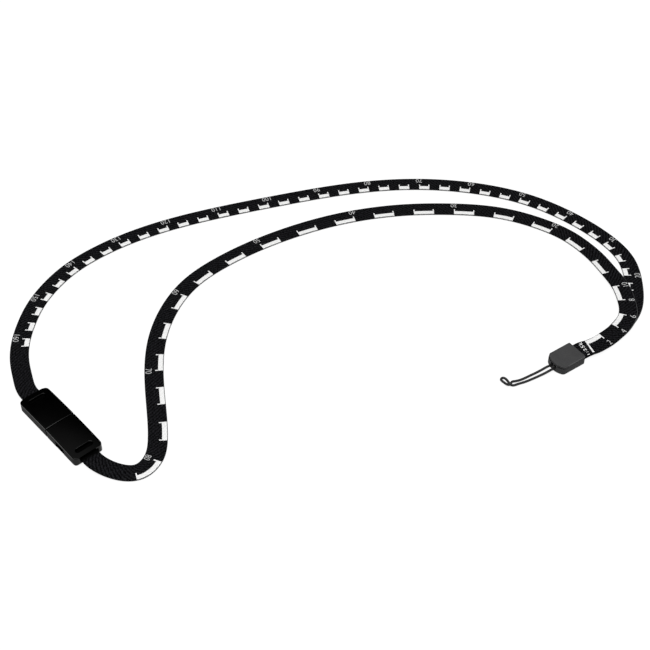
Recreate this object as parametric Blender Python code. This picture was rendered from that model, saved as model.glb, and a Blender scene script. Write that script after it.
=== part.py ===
"""Neck lanyard of two flat straps, a pull-apart safety buckle and an end block with a thin cord loop.

Metres, +Z up. The lanyard lies flat on the plane Z = 0, with the origin at the middle of its footprint.
"""
from math import cos, pi, radians, sin, sqrt

import bmesh
import bpy
import numpy as np
from mathutils import Matrix, Vector

# Fits
CLEARANCE = 0.0003          # gap between pieces that touch or slide

# Straps
STRAP_WIDTH = 0.0066
STRAP_THICKNESS = 0.0006
STRAP_STEP = 0.004          # spacing of the cross-sections along a strap
STRAP_LEAD = 0.0025         # straight run of a strap outside the block or the buckle

# Buckle: plug half and socket half, seat height is the mid-plane of strap and tongue
BUCKLE_PLACE = (-0.0900, -0.0543)
BUCKLE_YAW = radians(-48.9)
BUCKLE_FLOOR = 0.0012       # plastic under the strap pocket
BUCKLE_ROOF = 0.0012        # plastic over the strap pocket, at the outer ends
BUCKLE_CROWN = 0.0006       # extra height of the top at the seam
BUCKLE_SIDE_WALL = 0.0019
BUCKLE_CORNER = 0.0016
BUCKLE_EDGE = 0.00035
BUCKLE_HEEL = 0.0009        # radius where the underside turns up to an end face
PLUG_LENGTH = 0.0166
POCKET_DEPTH = 0.0053
POCKET_WEB = 0.0008         # wall between the tongue's cavity and the strap pocket
SEAM_GROOVE = 0.0002
TONGUE_LENGTH = 0.0105
TONGUE_WIDTH = 0.0062
TONGUE_THICKNESS = 0.0016
TONGUE_ROOT = 0.0010        # how far the tongue is moulded into the plug's body
TONGUE_TIP = 0.0008
TONGUE_SLIT_WIDTH = 0.0012
TONGUE_SLIT_LENGTH = 0.0075
SLOT_LENGTH = 0.0062
SLOT_WIDTH = 0.0015
SLOT_INSET = 0.0029         # outer end to the middle of the slot
CLAMP_RECESS = 0.0005       # clamp bar's top below the buckle's top
WINDOW_START = 0.0057       # seam to the side window
WINDOW_LENGTH = 0.0043
WINDOW_HEIGHT = 0.0013

# End block: tub and lid around both strap ends and the knotted cord
BLOCK_PLACE = (0.0797, -0.0242)
BLOCK_YAW = radians(35.0)
BLOCK_LENGTH = 0.0095
BLOCK_NOSE = 0.0016         # bulge of the round nose
BLOCK_NOSE_STEP = 0.0002    # the tub's nose stands back under the lid
BLOCK_WALL = 0.0006
BLOCK_FLOOR = 0.0008
BLOCK_LID = 0.0008
BLOCK_CHAMFER = 0.0005
PIN_DIAMETER = 0.0009
PIN_SPACING = 0.0036
PIN_INSET = 0.0026          # rear face to the pins
STRAP_BITE = 0.0048         # length of strap inside the block

# Cord loop
CORD_DIAMETER = 0.0008
CORD_SPACING = 0.0018
CORD_STEP = 0.0005
KNOT_DIAMETER = 0.0015
NOSE_WALL = 0.0019          # plastic that the cord holes run through

# Free stretch of each strap, mid-plane points from the block round to the buckle
ROUTE_25K = [
    (0.0889, -0.0184, 0.00205), (0.0954, -0.0137, 0.00150), (0.1004, -0.0090, 0.00125),
    (0.1050, -0.0015, 0.00120), (0.1056, 0.0050, 0.00120), (0.1042, 0.0144, 0.00120),
    (0.1014, 0.0220, 0.00090), (0.0980, 0.0299, 0.00045), (0.0941, 0.0361, 0.00030),
    (0.0891, 0.0419, 0.00030), (0.0796, 0.0488, 0.00030), (0.0645, 0.0552, 0.00030),
    (0.0454, 0.0576, 0.00030), (0.0260, 0.0569, 0.00030), (0.0028, 0.0518, 0.00030),
    (-0.0201, 0.0417, 0.00030), (-0.0420, 0.0266, 0.00030), (-0.0524, 0.0154, 0.00030),
    (-0.0582, 0.0039, 0.00030), (-0.0619, -0.0130, 0.00030), (-0.0613, -0.0323, 0.00030),
    (-0.0587, -0.0504, 0.00030), (-0.0578, -0.0591, 0.00030), (-0.0588, -0.0677, 0.00030),
    (-0.0630, -0.0726, 0.00040), (-0.0697, -0.0726, 0.00070), (-0.0736, -0.0712, 0.00120),
]
ROUTE_50K = [
    (0.0920, -0.0160, 0.00090), (0.0975, -0.0115, 0.00045), (0.1030, -0.0050, 0.00030),
    (0.1070, 0.0015, 0.00030), (0.1091, 0.0085, 0.00030), (0.1099, 0.0159, 0.00030),
    (0.1089, 0.0290, 0.00030), (0.1034, 0.0396, 0.00030), (0.0923, 0.0517, 0.00030),
    (0.0769, 0.0627, 0.00030), (0.0541, 0.0706, 0.00030), (0.0306, 0.0727, 0.00030),
    (0.0068, 0.0700, 0.00030), (-0.0205, 0.0629, 0.00030), (-0.0435, 0.0557, 0.00030),
    (-0.0659, 0.0468, 0.00030), (-0.0873, 0.0333, 0.00030), (-0.0982, 0.0221, 0.00030),
    (-0.1030, 0.0143, 0.00030), (-0.1069, 0.0049, 0.00030), (-0.1090, -0.0053, 0.00030),
    (-0.1096, -0.0132, 0.00030), (-0.1092, -0.0201, 0.00035), (-0.1081, -0.0255, 0.00055),
    (-0.1061, -0.0320, 0.00095),
]
# Free stretch of the cord, from the nose's far hole round the tip to its near hole
CORD_ROUTE = [
    (0.07345, -0.02695, 0.00125), (0.0715, -0.02795, 0.00080), (0.06935, -0.02915, 0.00050),
    (0.06715, -0.0304, 0.00040), (0.0635, -0.0325, 0.00045), (0.0618, -0.03325, 0.00070),
    (0.06085, -0.0338, 0.00110), (0.06035, -0.03445, 0.00145), (0.0600, -0.0352, 0.00160),
    (0.0595, -0.03555, 0.00145), (0.0589, -0.0351, 0.00105), (0.05835, -0.03425, 0.00065),
    (0.0578, -0.0334, 0.00042), (0.05735, -0.03285, 0.00040), (0.0571, -0.03225, 0.00040),
    (0.0573, -0.0317, 0.00040), (0.0578, -0.03145, 0.00040), (0.0584, -0.03165, 0.00040),
    (0.0589, -0.0322, 0.00040), (0.0593, -0.03295, 0.00040), (0.05965, -0.0338, 0.00040),
    (0.0600, -0.0345, 0.00040), (0.06075, -0.0349, 0.00040), (0.0623, -0.03445, 0.00040),
    (0.06445, -0.0336, 0.00040), (0.06805, -0.0318, 0.00040), (0.0709, -0.03025, 0.00050),
    (0.0727, -0.0294, 0.00085), (0.0743, -0.0286, 0.00125),
]

# Sizes that follow from the driving dimensions
POCKET_WIDTH = STRAP_WIDTH + 2 * CLEARANCE
POCKET_HEIGHT = STRAP_THICKNESS + 2 * CLEARANCE
BUCKLE_SEAT = BUCKLE_FLOOR + POCKET_HEIGHT / 2
BUCKLE_WIDTH = POCKET_WIDTH + 2 * BUCKLE_SIDE_WALL
BUCKLE_END_TOP = BUCKLE_SEAT + POCKET_HEIGHT / 2 + BUCKLE_ROOF
CAVITY_DEPTH = TONGUE_LENGTH + CLEARANCE
SOCKET_LENGTH = CAVITY_DEPTH + POCKET_WEB + POCKET_DEPTH
SEAM_X = (PLUG_LENGTH - SOCKET_LENGTH) / 2
BLOCK_WIDTH = POCKET_WIDTH + 2 * BLOCK_WALL
LOWER_STRAP_Z = BLOCK_FLOOR + CLEARANCE + STRAP_THICKNESS / 2
UPPER_STRAP_Z = LOWER_STRAP_Z + STRAP_THICKNESS + CLEARANCE
LID_Z = UPPER_STRAP_Z + STRAP_THICKNESS / 2 + CLEARANCE
TUB_TOP = LID_Z - CLEARANCE
BLOCK_REAR = (BLOCK_LENGTH + BLOCK_NOSE) / 2
NOSE_TIP = BLOCK_REAR - BLOCK_LENGTH - BLOCK_NOSE
CORD_Z = (BLOCK_FLOOR + TUB_TOP) / 2
CORD_HOLE = CORD_DIAMETER + 2 * CLEARANCE
KNOT_ROOM = KNOT_DIAMETER + 2 * CLEARANCE
KNOT_X = NOSE_TIP + NOSE_WALL + KNOT_ROOM / 2
OVERCUT = 0.001             # how far a cutter reaches past the face that it opens


def clear_scene():
    for item in list(bpy.data.objects):
        bpy.data.objects.remove(item, do_unlink=True)


def make_material(name, colour, roughness):
    material = bpy.data.materials.new(name)
    material.use_nodes = True
    shader = material.node_tree.nodes["Principled BSDF"]
    shader.inputs["Base Color"].default_value = (*colour, 1.0)
    shader.inputs["Roughness"].default_value = roughness
    shader.inputs["Metallic"].default_value = 0.0
    return material


def make_frame(name, place, height, yaw):
    """An empty that carries the pieces of the buckle or of the block."""
    frame = bpy.data.objects.new(name, None)
    frame.location = (*place, height)
    frame.rotation_euler = (0.0, 0.0, yaw)
    bpy.context.scene.collection.objects.link(frame)
    return frame


def add_object(name, data, parent=None, material=None):
    item = bpy.data.objects.new(name, data)
    item.parent = parent
    bpy.context.scene.collection.objects.link(item)
    if material:
        data.materials.append(material)
    return item


def loft_mesh(name, rings):
    """Closed solid over rings of the same number of points, with flat end caps."""
    shape = bmesh.new()
    loops = [[shape.verts.new(point) for point in ring] for ring in rings]
    count = len(loops[0])
    for here, there in zip(loops, loops[1:]):
        for i in range(count):
            j = (i + 1) % count
            shape.faces.new((here[i], here[j], there[j], there[i]))
    shape.faces.new(loops[0])
    shape.faces.new(loops[-1])
    bmesh.ops.recalc_face_normals(shape, faces=shape.faces)
    mesh = bpy.data.meshes.new(name)
    shape.to_mesh(mesh)
    shape.free()
    return mesh


def prism_mesh(name, outline, levels):
    """Upright solid: the outline at each (height, inset) level."""
    rings = []
    for height, inset in levels:
        reach = np.abs(np.array(outline)).max(axis=0)
        shrink = 1.0 - inset / reach
        rings.append([(x * shrink[0], y * shrink[1], height) for x, y in outline])
    return loft_mesh(name, rings)


def box_mesh(name, low, high):
    outline = [(low[0], low[1]), (high[0], low[1]), (high[0], high[1]), (low[0], high[1])]
    rings = [[(x, y, z) for x, y in outline] for z in (low[2], high[2])]
    return loft_mesh(name, rings)


def disc_outline(middle, radius, sides=16):
    turns = [2 * pi * k / sides for k in range(sides)]
    return [(middle[0] + radius * cos(a), middle[1] + radius * sin(a)) for a in turns]


def slot_outline(middle_x, length, width, steps=6):
    """Obround across the buckle: two half circles joined by straight sides."""
    radius = width / 2
    reach = length / 2 - radius
    points = []
    for side, first in ((1, 0.0), (-1, pi)):
        for k in range(steps + 1):
            angle = first + pi * k / steps
            points.append((middle_x + radius * cos(angle), side * reach + radius * sin(angle)))
    return points


def rod_mesh(name, start, length, radius, sides=12):
    """Round rod along +X."""
    rings = []
    for x in (start[0], start[0] + length):
        rings.append([(x, start[1] + y, start[2] + z) for y, z in disc_outline((0, 0), radius, sides)])
    return loft_mesh(name, rings)


def cut(item, meshes, parent, operation="DIFFERENCE"):
    """Boolean each mesh with the item. The tools stay hidden as wires."""
    for mesh in meshes:
        tool = add_object(mesh.name, mesh, parent)
        tool.hide_render = True
        tool.display_type = "WIRE"
        modifier = item.modifiers.new(mesh.name, "BOOLEAN")
        modifier.operation = operation
        modifier.solver = "EXACT"
        modifier.object = tool


def smooth_route(points, step):
    """Natural cubic spline through the points, read off at an even step."""
    knots = np.array(points)
    spans = np.linalg.norm(np.diff(knots, axis=0), axis=1)
    at = np.concatenate(([0.0], np.cumsum(spans)))
    count = len(knots)
    matrix = np.eye(count)
    right = np.zeros_like(knots)
    for i in range(1, count - 1):
        matrix[i, i - 1:i + 2] = spans[i - 1], 2 * (spans[i - 1] + spans[i]), spans[i]
        slopes = np.diff(knots[i - 1:i + 2], axis=0) / spans[i - 1:i + 1, None]
        right[i] = 6 * (slopes[1] - slopes[0])
    bend = np.linalg.solve(matrix, right)

    def curve(where):
        i = np.clip(np.searchsorted(at, where) - 1, 0, count - 2)
        h = spans[i][:, None]
        a = (at[i + 1] - where)[:, None] / h
        b = 1 - a
        sag = ((a ** 3 - a) * bend[i] + (b ** 3 - b) * bend[i + 1]) * h ** 2 / 6
        return a * knots[i] + b * knots[i + 1] + sag

    fine = curve(np.linspace(0.0, at[-1], 40 * count))
    length = np.concatenate(([0.0], np.cumsum(np.linalg.norm(np.diff(fine, axis=0), axis=1))))
    even = np.linspace(0.0, length[-1], max(2, round(length[-1] / step)) + 1)
    return np.stack([np.interp(even, length, fine[:, k]) for k in range(3)], axis=1)


def strap_mesh(name, points):
    """Flat webbing: a rectangle carried along the route, level across its width."""
    middle = smooth_route(points, STRAP_STEP)
    along = np.gradient(middle, axis=0)
    along /= np.linalg.norm(along, axis=1)[:, None]
    across = np.stack([-along[:, 1], along[:, 0], np.zeros(len(along))], axis=1)
    across /= np.linalg.norm(across, axis=1)[:, None]
    up = np.cross(along, across)
    corners = [(1, 1), (-1, 1), (-1, -1), (1, -1)]
    side, lift = across * STRAP_WIDTH / 2, up * STRAP_THICKNESS / 2
    rings = np.stack([middle + a * side + b * lift for a, b in corners], axis=1)
    return loft_mesh(name, rings.tolist())


def in_frame(place, height, yaw, points):
    """World places of points given along a buckle's or a block's own axes."""
    turn = Matrix.Translation((*place, height)) @ Matrix.Rotation(yaw, 4, "Z")
    return [tuple(turn @ Vector(point)) for point in points]


def arc_drop(radius, reach):
    """How far a quarter round has fallen at a reach past its start."""
    return radius - sqrt(max(0.0, radius ** 2 - max(0.0, reach) ** 2))


def buckle_half_mesh(name, length, side):
    """Half of the buckle from the seam outwards, on the side of +X or -X."""
    half = BUCKLE_WIDTH / 2
    face = CLEARANCE / 2
    straight = length - BUCKLE_CORNER
    stations = [face, face + SEAM_GROOVE]
    stations += [straight * k / 6 for k in range(1, 7)]
    stations += [straight + BUCKLE_CORNER * sin(pi / 2 * k / 5) for k in range(1, 6)]
    rings = []
    for x in stations:
        groove = max(0.0, face + SEAM_GROOVE - x)
        width = half - arc_drop(BUCKLE_CORNER, x - straight) - groove / 2
        low = arc_drop(BUCKLE_HEEL, x - length + BUCKLE_HEEL) + groove / 2
        high = BUCKLE_END_TOP + BUCKLE_CROWN * (1 - (x / length) ** 2) - groove
        rings.append(chamfered_ring(side * x + SEAM_X, width, low - BUCKLE_SEAT, high - BUCKLE_SEAT))
    return loft_mesh(name, rings)


def chamfered_ring(x, width, low, high):
    e = BUCKLE_EDGE
    return [
        (x, -width + e, low), (x, width - e, low), (x, width, low + e), (x, width, high - e),
        (x, width - e, high), (x, -width + e, high), (x, -width, high - e), (x, -width, low + e),
    ]


def strap_pocket(name, length, side):
    """Cutters for the mouth that the strap enters and for the slot above it."""
    outer = SEAM_X + side * length
    inner = outer - side * POCKET_DEPTH
    ends = sorted((inner, outer + side * OVERCUT))
    mouth = box_mesh(
        name + "_mouth_cutter",
        (ends[0], -POCKET_WIDTH / 2, -POCKET_HEIGHT / 2),
        (ends[1], POCKET_WIDTH / 2, POCKET_HEIGHT / 2),
    )
    outline = slot_outline(outer - side * SLOT_INSET, SLOT_LENGTH, SLOT_WIDTH)
    rings = [[(x, y, z) for x, y in outline] for z in (0.0, BUCKLE_END_TOP + BUCKLE_CROWN)]
    return [mouth, loft_mesh(name + "_slot_cutter", rings)]


def clamp_bar_mesh(name, length, side):
    """Bar in the slot that holds the strap's end down, its top a little below the buckle's."""
    outline = slot_outline(
        SEAM_X + side * (length - SLOT_INSET),
        SLOT_LENGTH - 2 * CLEARANCE,
        SLOT_WIDTH - 2 * CLEARANCE,
    )
    low = STRAP_THICKNESS / 2 + CLEARANCE
    high = BUCKLE_END_TOP - BUCKLE_SEAT - CLAMP_RECESS
    return loft_mesh(name, [[(x, y, z) for x, y in outline] for z in (low, high)])


def tongue_mesh(name):
    """The plug's forked tongue: one outline with a slit, drawn from tip to root."""
    root = SEAM_X - CLEARANCE / 2 - TONGUE_ROOT
    tip = SEAM_X - CLEARANCE / 2 + TONGUE_LENGTH
    half, slit = TONGUE_WIDTH / 2, TONGUE_SLIT_WIDTH / 2
    prong = [
        (tip - TONGUE_SLIT_LENGTH, slit), (tip - TONGUE_TIP / 2, slit), (tip, slit + TONGUE_TIP / 2),
        (tip, half - TONGUE_TIP), (tip - TONGUE_TIP, half), (root, half),
    ]
    outline = prong + [(x, -y) for x, y in reversed(prong)]
    lift = TONGUE_THICKNESS / 2
    return loft_mesh(name, [[(x, y, z) for x, y in outline] for z in (-lift, lift)])


def build_buckle(plastic, dark):
    frame = make_frame("buckle_frame", BUCKLE_PLACE, BUCKLE_SEAT, BUCKLE_YAW)
    socket_mesh = buckle_half_mesh("buckle_socket", SOCKET_LENGTH, 1)
    socket = add_object("buckle_socket", socket_mesh, frame, plastic)
    cavity_half = TONGUE_WIDTH / 2 + CLEARANCE
    cavity_lift = TONGUE_THICKNESS / 2 + CLEARANCE
    face = SEAM_X + CLEARANCE / 2
    cavity = box_mesh(
        "tongue_cavity_cutter",
        (face - OVERCUT, -cavity_half, -cavity_lift),
        (SEAM_X - CLEARANCE / 2 + CAVITY_DEPTH, cavity_half, cavity_lift),
    )
    windows = []
    for side in (-1, 1):
        reach = sorted((side * cavity_half, side * (BUCKLE_WIDTH / 2 + OVERCUT)))
        windows.append(box_mesh(
            f"side_window_cutter_{side}",
            (SEAM_X + WINDOW_START, reach[0], -BUCKLE_SEAT - OVERCUT),
            (SEAM_X + WINDOW_START + WINDOW_LENGTH, reach[1], -BUCKLE_SEAT + WINDOW_HEIGHT),
        ))
    cut(socket, [cavity, *windows, *strap_pocket("socket", SOCKET_LENGTH, 1)], frame)

    plug_slide = make_frame("plug_slide", BUCKLE_PLACE, BUCKLE_SEAT, BUCKLE_YAW)
    plug_mesh = buckle_half_mesh("buckle_plug", PLUG_LENGTH, -1)
    plug = add_object("buckle_plug", plug_mesh, plug_slide, plastic)
    cut(plug, strap_pocket("plug", PLUG_LENGTH, -1), plug_slide)
    cut(plug, [tongue_mesh("tongue_shape")], plug_slide, "UNION")
    socket_bar = clamp_bar_mesh("socket_clamp_bar", SOCKET_LENGTH, 1)
    add_object("socket_clamp_bar", socket_bar, frame, dark)
    plug_bar = clamp_bar_mesh("plug_clamp_bar", PLUG_LENGTH, -1)
    add_object("plug_clamp_bar", plug_bar, plug_slide, dark)


def block_outline(step_back):
    """Plan of the block: square rear with small chamfers and a shallow round nose."""
    half = BLOCK_WIDTH / 2
    shoulder = BLOCK_REAR - BLOCK_LENGTH
    rise = BLOCK_NOSE - step_back
    radius = (half ** 2 + rise ** 2) / (2 * rise)
    sweep = np.arcsin(half / radius)
    nose = []
    for k in range(13):
        angle = sweep * (1 - k / 6)
        nose.append((shoulder - radius * cos(angle) + radius - rise, radius * sin(angle)))
    rear = [
        (BLOCK_REAR - BLOCK_CHAMFER, -half), (BLOCK_REAR, -half + BLOCK_CHAMFER),
        (BLOCK_REAR, half - BLOCK_CHAMFER), (BLOCK_REAR - BLOCK_CHAMFER, half),
    ]
    return nose + rear


def build_block(plastic):
    frame = make_frame("block_frame", BLOCK_PLACE, 0.0, BLOCK_YAW)
    edge = BLOCK_CHAMFER / 2
    tub_levels = [(0.0, edge), (edge, 0.0), (TUB_TOP, 0.0)]
    tub_mesh = prism_mesh("end_block_tub", block_outline(BLOCK_NOSE_STEP), tub_levels)
    tub = add_object("end_block_tub", tub_mesh, frame, plastic)
    top = LID_Z + BLOCK_LID
    lid_levels = [(LID_Z, 0.0), (top - edge, 0.0), (top, edge)]
    lid_mesh = prism_mesh("end_block_lid", block_outline(0.0), lid_levels)
    add_object("end_block_lid", lid_mesh, frame, plastic)

    strap_room = box_mesh(
        "strap_room_cutter",
        (BLOCK_REAR - STRAP_BITE - CLEARANCE, -POCKET_WIDTH / 2, BLOCK_FLOOR),
        (BLOCK_REAR + OVERCUT, POCKET_WIDTH / 2, TUB_TOP + OVERCUT),
    )
    knot_half = CORD_SPACING / 2 + KNOT_ROOM / 2
    knot_room = box_mesh(
        "knot_room_cutter",
        (KNOT_X - KNOT_ROOM / 2, -knot_half, BLOCK_FLOOR),
        (KNOT_X + KNOT_ROOM / 2, knot_half, TUB_TOP + OVERCUT),
    )
    holes = []
    for side in (-1, 1):
        start = (NOSE_TIP - OVERCUT, side * CORD_SPACING / 2, CORD_Z)
        holes.append(rod_mesh(f"cord_hole_cutter_{side}", start, NOSE_WALL + 2 * OVERCUT, CORD_HOLE / 2))
    cut(tub, [strap_room, knot_room, *holes], frame)
    pins = []
    for side in (-1, 1):
        outline = disc_outline((BLOCK_REAR - PIN_INSET, side * PIN_SPACING / 2), PIN_DIAMETER / 2)
        heights = (BLOCK_FLOOR / 2, TUB_TOP)
        pins.append(loft_mesh(f"pin_shape_{side}", [[(x, y, z) for x, y in outline] for z in heights]))
    cut(tub, pins, frame, "UNION")


def build_straps(webbing):
    """Each strap runs from the block round its free route into its half of the buckle."""
    ends = (
        ("strap_25k", UPPER_STRAP_Z, ROUTE_25K, SEAM_X + SOCKET_LENGTH, -1),
        ("strap_50k", LOWER_STRAP_Z, ROUTE_50K, SEAM_X - PLUG_LENGTH, 1),
    )
    for name, height, route, mouth, inward in ends:
        bite = [(BLOCK_REAR + x, 0, height) for x in (-STRAP_BITE, 0, STRAP_LEAD)]
        grip = [(mouth + inward * x, 0, 0) for x in (-STRAP_LEAD, 0, POCKET_DEPTH - CLEARANCE)]
        points = in_frame(BLOCK_PLACE, 0.0, BLOCK_YAW, bite)
        points += route
        points += in_frame(BUCKLE_PLACE, BUCKLE_SEAT, BUCKLE_YAW, grip)
        strap = add_object(name, strap_mesh(name, points), None, webbing)
        holes = []
        for side in (-1, 1):
            spot = (BLOCK_REAR - PIN_INSET, side * PIN_SPACING / 2, 0.0)
            middle = in_frame(BLOCK_PLACE, 0.0, BLOCK_YAW, [spot])[0]
            outline = disc_outline(middle, PIN_DIAMETER / 2 + CLEARANCE)
            heights = (0.0, LID_Z + BLOCK_LID)
            rings = [[(u, v, w) for u, v in outline] for w in heights]
            holes.append(loft_mesh(f"{name}_pin_hole_{side}", rings))
        cut(strap, holes, None)


def build_cord(cord_black):
    stop = KNOT_X - KNOT_DIAMETER / 2 - CLEARANCE
    spots = [(stop, CORD_SPACING / 2, CORD_Z), (NOSE_TIP, CORD_SPACING / 2, CORD_Z)]
    first = in_frame(BLOCK_PLACE, 0.0, BLOCK_YAW, spots)
    last = in_frame(BLOCK_PLACE, 0.0, BLOCK_YAW, [(x, -y, z) for x, y, z in reversed(spots)])
    points = smooth_route(first + CORD_ROUTE + last, CORD_STEP)
    curve = bpy.data.curves.new("cord_loop", "CURVE")
    curve.dimensions = "3D"
    curve.bevel_depth = CORD_DIAMETER / 2
    curve.bevel_resolution = 2
    curve.use_fill_caps = True
    spline = curve.splines.new("POLY")
    spline.points.add(len(points) - 1)
    for spot, place in zip(spline.points, points):
        spot.co = (*place, 1.0)
    add_object("cord_loop", curve, None, cord_black)

    frame = make_frame("knot_frame", BLOCK_PLACE, 0.0, BLOCK_YAW)
    for name, side in (("far_cord_knot", 1), ("near_cord_knot", -1)):
        place = Matrix.Translation((KNOT_X, side * CORD_SPACING / 2, CORD_Z))
        shape = bmesh.new()
        bmesh.ops.create_icosphere(shape, subdivisions=2, radius=KNOT_DIAMETER / 2, matrix=place)
        mesh = bpy.data.meshes.new(name)
        shape.to_mesh(mesh)
        shape.free()
        mesh.shade_smooth()
        add_object(name, mesh, frame, cord_black)


def main():
    clear_scene()
    webbing = make_material("black_webbing", (0.007, 0.007, 0.008), 0.9)
    plastic = make_material("black_plastic", (0.012, 0.012, 0.012), 0.55)
    dark = make_material("black_clamp", (0.005, 0.005, 0.005), 0.6)
    grey = make_material("grey_plastic", (0.06, 0.06, 0.062), 0.6)
    cord_black = make_material("black_cord", (0.012, 0.012, 0.012), 0.8)
    build_buckle(plastic, dark)
    build_block(grey)
    build_straps(webbing)
    build_cord(cord_black)


main()
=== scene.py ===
import math

import bmesh
import bpy
import numpy as np
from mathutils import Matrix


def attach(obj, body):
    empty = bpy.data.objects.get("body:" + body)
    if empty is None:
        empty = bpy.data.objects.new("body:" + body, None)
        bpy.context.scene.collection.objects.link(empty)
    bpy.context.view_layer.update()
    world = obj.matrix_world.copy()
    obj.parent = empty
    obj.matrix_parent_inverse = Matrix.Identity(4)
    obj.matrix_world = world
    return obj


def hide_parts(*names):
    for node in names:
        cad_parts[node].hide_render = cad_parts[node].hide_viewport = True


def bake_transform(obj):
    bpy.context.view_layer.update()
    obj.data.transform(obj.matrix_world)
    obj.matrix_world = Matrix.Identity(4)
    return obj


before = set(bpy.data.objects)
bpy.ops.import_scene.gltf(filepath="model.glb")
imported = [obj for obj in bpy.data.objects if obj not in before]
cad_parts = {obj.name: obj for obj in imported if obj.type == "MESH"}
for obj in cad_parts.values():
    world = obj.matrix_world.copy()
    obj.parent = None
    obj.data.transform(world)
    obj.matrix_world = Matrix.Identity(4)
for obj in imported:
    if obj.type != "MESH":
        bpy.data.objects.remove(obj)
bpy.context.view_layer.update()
print("frame loaded with", len(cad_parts), "CAD nodes")

# places and sizes shared with the solids, in metres
gap = 0.0003
buckleAt = {"place": (-0.0900, -0.0543), "seat": 0.0018, "yaw": math.radians(-48.9)}
blockAt = {"place": (0.0797, -0.0242), "seat": 0.0, "yaw": math.radians(35.0)}
capShare = 0.02  # the last ring before a flat cap, as a share of its own size
sharpAngle = math.radians(40.0)  # edges that turn more than this stay sharp


# shared geometry helpers

def toWorld(at, local):
    # turn about Z by the yaw, then shift to the place and the seat height
    local = np.asarray(local, float)
    c, s = math.cos(at["yaw"]), math.sin(at["yaw"])
    x = c * local[..., 0] - s * local[..., 1] + at["place"][0]
    y = s * local[..., 0] + c * local[..., 1] + at["place"][1]
    return np.stack([x, y, local[..., 2] + at["seat"]], axis=-1)


def lengthAlong(points):
    spans = np.linalg.norm(np.diff(points, axis=0), axis=1)
    return np.concatenate(([0.0], np.cumsum(spans)))


def smoothRoute(points, step):
    # natural cubic spline over chord length through the points, read off at an even step
    knots = np.array(points)
    spans = np.linalg.norm(np.diff(knots, axis=0), axis=1)
    at = lengthAlong(knots)
    count = len(knots)
    matrix = np.eye(count)
    right = np.zeros_like(knots)
    inner = np.arange(1, count - 1)
    matrix[inner, inner - 1] = spans[:-1]
    matrix[inner, inner] = 2 * (spans[:-1] + spans[1:])
    matrix[inner, inner + 1] = spans[1:]
    slopes = np.diff(knots, axis=0) / spans[:, None]
    right[1:-1] = 6 * np.diff(slopes, axis=0)
    bend = np.linalg.solve(matrix, right)
    where = np.linspace(0.0, at[-1], 40 * count)  # 40 samples for each point
    i = np.clip(np.searchsorted(at, where) - 1, 0, count - 2)
    h = spans[i][:, None]
    a = (at[i + 1] - where)[:, None] / h
    b = 1 - a
    sag = ((a ** 3 - a) * bend[i] + (b ** 3 - b) * bend[i + 1]) * h ** 2 / 6
    fine = a * knots[i] + b * knots[i + 1] + sag
    length = lengthAlong(fine)
    even = np.linspace(0.0, length[-1], max(2, round(length[-1] / step)) + 1)
    return np.stack([np.interp(even, length, fine[:, k]) for k in range(3)], axis=1)


def travel(middle):
    # unit directions along, across and above a line; the one across stays level
    along = np.gradient(middle, axis=0)
    along /= np.linalg.norm(along, axis=1)[:, None]
    across = np.stack([-along[:, 1], along[:, 0], np.zeros(len(along))], axis=1)
    across /= np.linalg.norm(across, axis=1)[:, None]
    return along, across, np.cross(along, across)


def smoothStep(low, high, value):
    # 0 up to low, 1 from high on, and 3t^2 - 2t^3 in between
    t = np.clip((value - low) / (high - low), 0.0, 1.0)
    return t * t * (3 - 2 * t)


def tubeShell(grid, along, around):
    # quads over a (rows, columns) grid that closes on itself across, with a flat cap at each end
    rows, columns = grid.shape[:2]
    index = np.arange(rows * columns).reshape(rows, columns)
    beside = np.roll(index, -1, axis=1)
    quads = np.stack([index[:-1], beside[:-1], beside[1:], index[1:]], axis=-1).reshape(-1, 4)
    u = np.repeat(np.asarray(along, float)[:, None], columns + 1, axis=1)
    v = np.repeat(np.asarray(around, float)[None, :], rows, axis=0)
    lay = np.stack([u, v], axis=-1)
    corners = np.stack([lay[:-1, :-1], lay[:-1, 1:], lay[1:, 1:], lay[1:, :-1]], axis=2)
    points = grid.reshape(-1, 3)
    p = points[quads]
    volume = np.einsum("ij,ij->i", p[:, 0], np.cross(p[:, 1], p[:, 2])).sum()
    volume += np.einsum("ij,ij->i", p[:, 0], np.cross(p[:, 2], p[:, 3])).sum()
    faces = quads.tolist()
    faces += [index[0, ::-1].tolist(), index[-1].tolist()]
    lays = list(corners.reshape(-1, 4, 2))
    lays += [lay[0, :-1][::-1], lay[-1, :-1]]
    if volume < 0:
        faces = [face[::-1] for face in faces]
        lays = [corner[::-1] for corner in lays]
    return points, faces, np.concatenate(lays)


def closedShell(at, grid):
    # a closed grid in a part's own frame, carried to its place, with a lay from 0 to 1 both ways
    rows, columns = grid.shape[:2]
    return tubeShell(toWorld(at, grid), np.linspace(0, 1, rows), np.linspace(0, 1, columns + 1))


def addObject(name, data):
    item = bpy.data.objects.new(name, data)
    bpy.context.scene.collection.objects.link(item)
    return item


def makePiece(name, shells, material, paintedShading=None):
    # one object of several closed shells, smooth but for its sharp edges, with its lay as a UV map
    # and, where given, its painted shading at each point: painted shade above 0, painted highlight below 0
    points, faces, lays, first = [], [], [], 0
    for shellPoints, shellFaces, shellLay in shells:
        points.append(shellPoints)
        faces += [[first + i for i in face] for face in shellFaces]
        lays.append(shellLay)
        first += len(shellPoints)
    mesh = bpy.data.meshes.new(name)
    mesh.from_pydata(np.concatenate(points).tolist(), [], faces)
    layer = mesh.uv_layers.new(name="lay")
    layer.data.foreach_set("uv", np.concatenate(lays).astype(np.float32).ravel())
    if paintedShading is not None:
        depth = np.zeros(first, np.float32)
        depth[:paintedShading.size] = paintedShading.ravel()
        mesh.attributes.new("paintedShading", "FLOAT", "POINT").data.foreach_set("value", depth)
    mesh.shade_smooth()
    mesh.set_sharp_from_angle(angle=sharpAngle)
    mesh.materials.append(material)
    return addObject(name, mesh)


# shader helpers

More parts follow.
